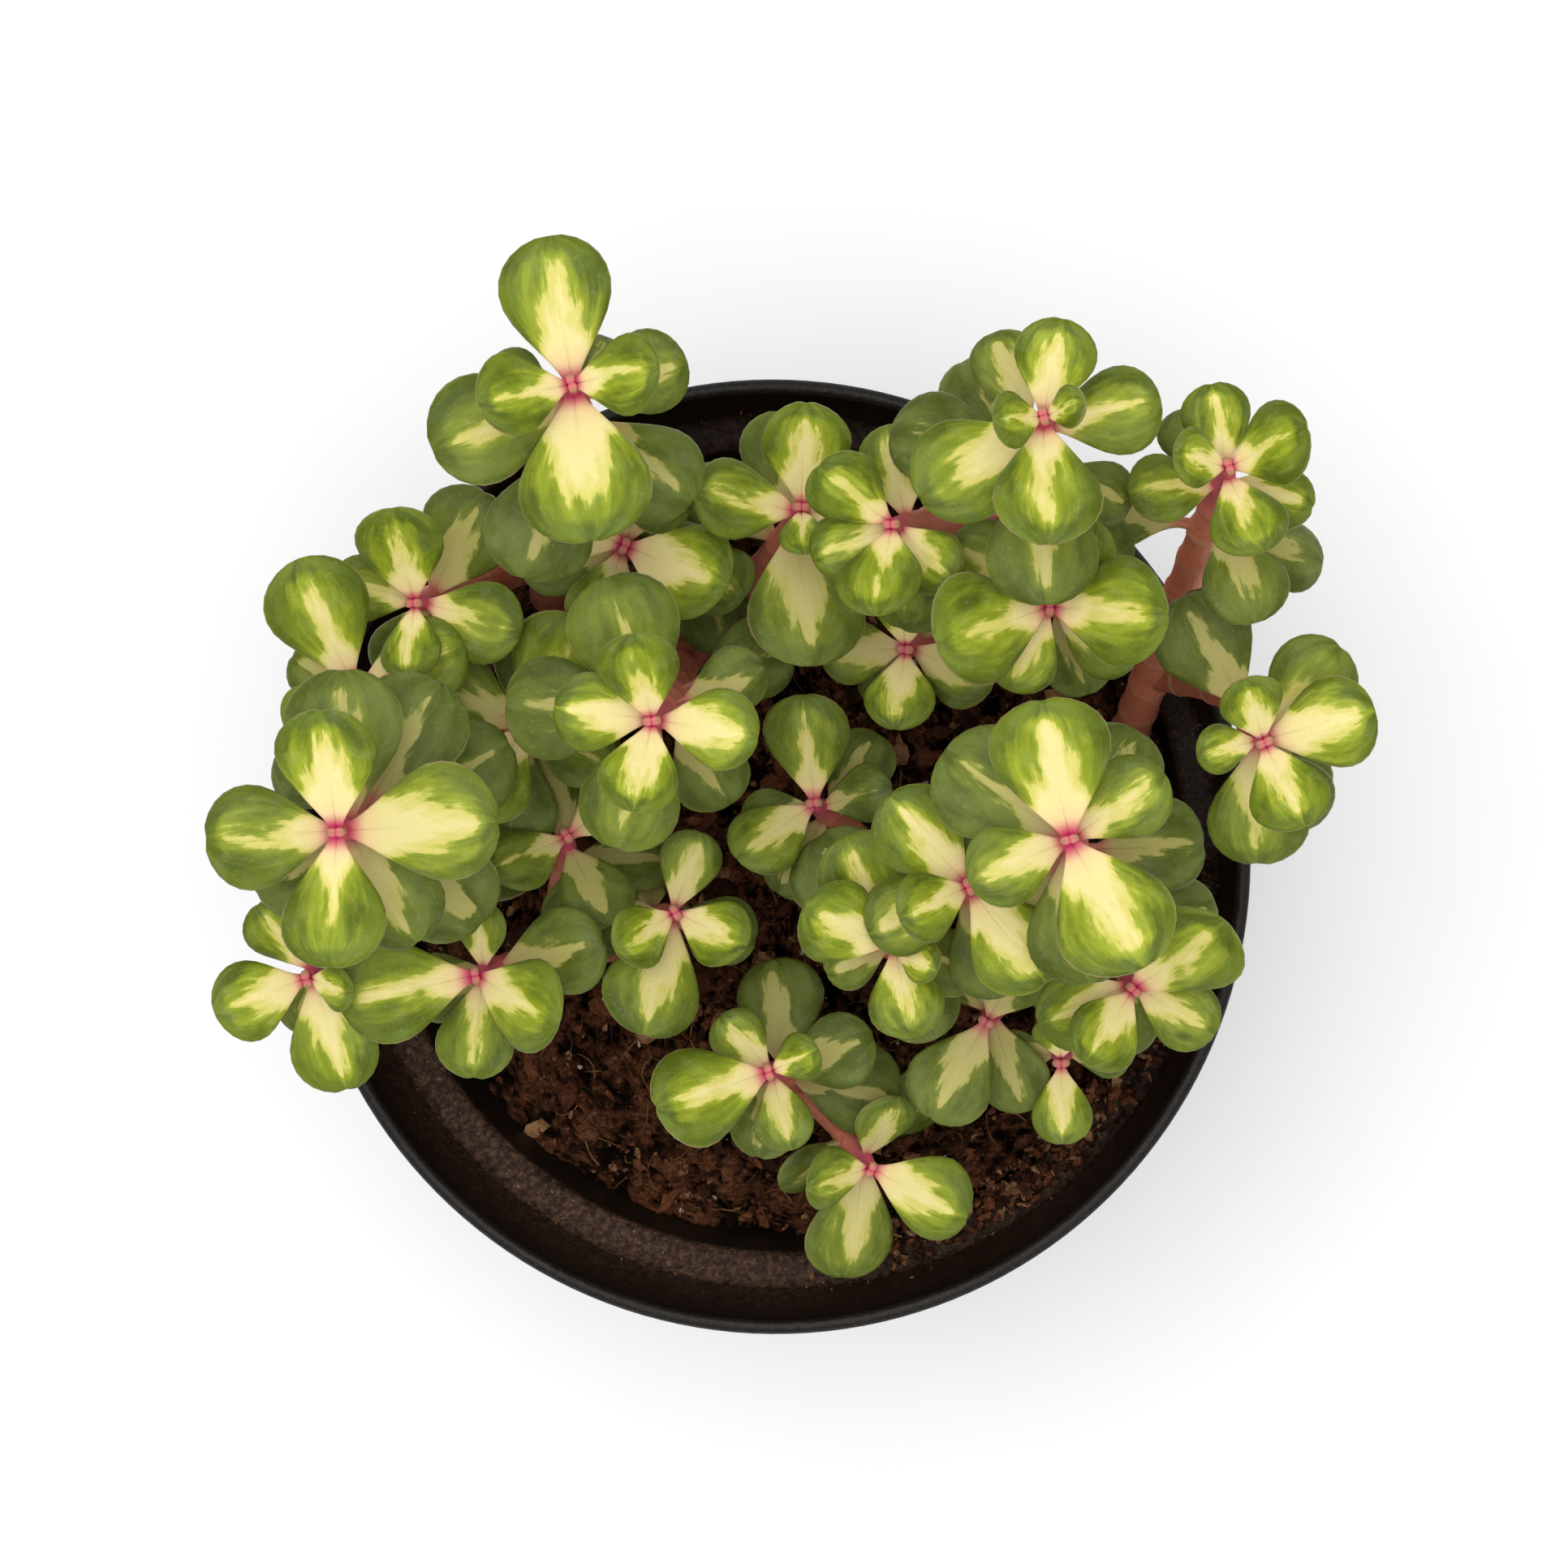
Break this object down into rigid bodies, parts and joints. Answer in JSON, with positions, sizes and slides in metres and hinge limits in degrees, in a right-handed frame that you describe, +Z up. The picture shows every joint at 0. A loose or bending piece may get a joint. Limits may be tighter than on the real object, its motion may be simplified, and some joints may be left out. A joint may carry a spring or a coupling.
{
  "type": "potted succulent",
  "caption": "Bushy variegated elephant bush with fleshy paired leaves on red stems, growing in soil in a round black nursery pot.",
  "frame": {"origin": "centre of the pot's flat foot, on the floor it stands on", "axes": "+Z up along the pot's axis; +Y towards the plant's back, where the tall shoots overhang the rim; +X to the right; the bare soil faces -Y"},
  "size_m": [0.121, 0.1174, 0.1438],
  "materials": {
    "pot": "satin",
    "soil": "matte",
    "stem": "satin",
    "young_leaf": "satin",
    "old_leaf": "satin"
  },
  "bodies": {
    "root": {"crown_centre_bud": "young_leaf", "crown_centre_gap": "young_leaf", "crown_centre_left": "young_leaf", "crown_centre_low": "young_leaf", "crown_east_big": "young_leaf", "crown_east_edge": "young_leaf", "crown_east_inner": "young_leaf", "crown_north_back": "young_leaf", "crown_north_east_edge": "young_leaf", "crown_north_east_tall": "young_leaf", "crown_north_gap": "young_leaf", "crown_north_inner": "young_leaf", "crown_north_low": "young_leaf", "crown_north_west_edge": "young_leaf", "crown_north_west_tall": "young_leaf", "crown_south_centre_high": "young_leaf", "crown_south_centre_low": "young_leaf", "crown_south_east_edge": "young_leaf", "crown_south_east_low": "young_leaf", "crown_south_gap": "young_leaf", "crown_south_low": "young_leaf", "crown_south_rim": "young_leaf", "crown_south_west_edge": "young_leaf", "crown_south_west_inner": "young_leaf", "crown_south_west_low": "young_leaf", "crown_west_back": "young_leaf", "crown_west_big": "young_leaf", "crown_west_inner": "young_leaf", "leaves_centre_left_1": "old_leaf", "leaves_centre_left_2": "old_leaf", "leaves_centre_left_3": "old_leaf", "leaves_east_big_1": "old_leaf", "leaves_east_big_2": "old_leaf", "leaves_east_big_3": "old_leaf", "leaves_east_edge_1": "old_leaf", "leaves_east_edge_2": "old_leaf", "leaves_north_east_edge_1": "old_leaf", "leaves_north_east_edge_2": "old_leaf", "leaves_north_east_tall_1": "old_leaf", "leaves_north_east_tall_2": "old_leaf", "leaves_north_east_tall_3": "old_leaf", "leaves_north_west_tall_1": "old_leaf", "leaves_north_west_tall_2": "old_leaf", "leaves_north_west_tall_3": "old_leaf", "leaves_west_big_1": "old_leaf", "leaves_west_big_2": "old_leaf", "leaves_west_big_3": "old_leaf", "pot": "pot", "soil": "soil", "stem_centre": "stem", "stem_centre_north": "stem", "stem_east": "stem", "stem_north_east": "stem", "stem_north_west": "stem", "stem_south": "stem", "stem_south_east": "stem", "stem_south_west": "stem", "stem_west": "stem"}
  },
  "joints": []
}
